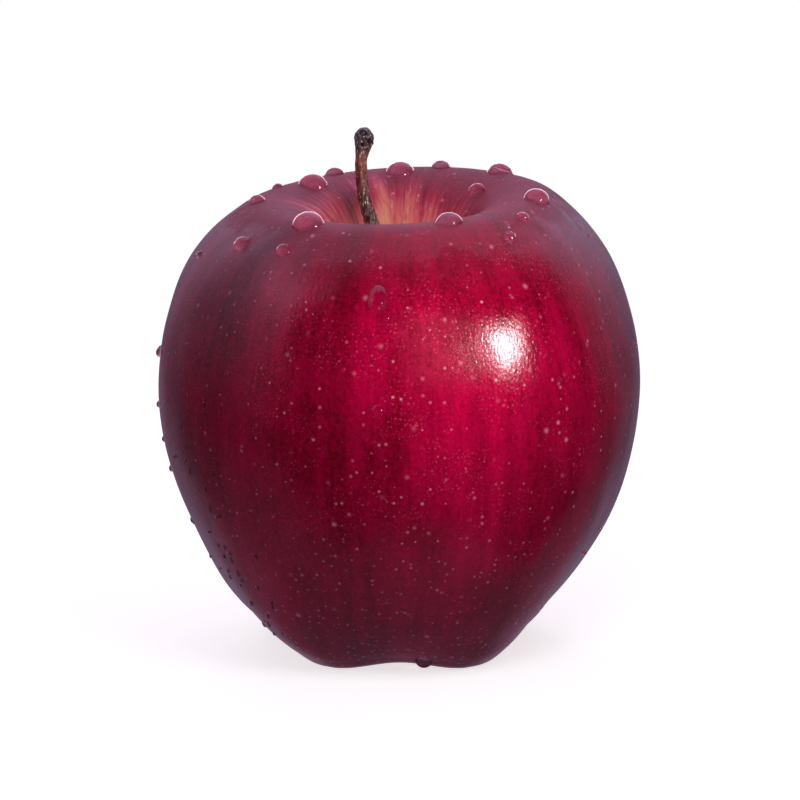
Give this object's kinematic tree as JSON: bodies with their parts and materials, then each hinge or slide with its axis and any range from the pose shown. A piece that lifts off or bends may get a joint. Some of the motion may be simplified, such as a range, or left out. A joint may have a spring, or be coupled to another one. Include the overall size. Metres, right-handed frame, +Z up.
{
  "type": "red apple",
  "caption": "Tall five-lobed red apple, as picked, with a bent woody stalk, dried calyx and standing water drops; it rests on its crown's lobes.",
  "frame": {"origin": "on the resting plane, under the middle of the fruit", "axes": "+Z up along the fruit's axis from calyx to stalk; -Y is the front, where a furrow lies between two ribs"},
  "size_m": [0.0796, 0.0801, 0.0861],
  "materials": {
    "skin": "satin",
    "bark": "matte",
    "dried_calyx": "matte",
    "water": "polished"
  },
  "bodies": {
    "root": {"fruit": "skin", "stem": "bark", "sepal_1": "dried_calyx", "sepal_2": "dried_calyx", "sepal_3": "dried_calyx", "sepal_4": "dried_calyx", "sepal_5": "dried_calyx", "dried_stamens": "dried_calyx", "water_drop_01": "water", "water_drop_02": "water", "water_drop_03": "water", "water_drop_04": "water", "water_drop_05": "water", "water_drop_06": "water", "water_drop_07": "water", "water_drop_08": "water", "water_drop_09": "water", "water_drop_10": "water", "water_drop_11": "water", "water_drop_12": "water", "water_drop_13": "water", "water_drop_14": "water", "water_drop_15": "water", "water_drop_16": "water", "water_drop_17": "water", "water_drop_18": "water"}
  },
  "joints": []
}
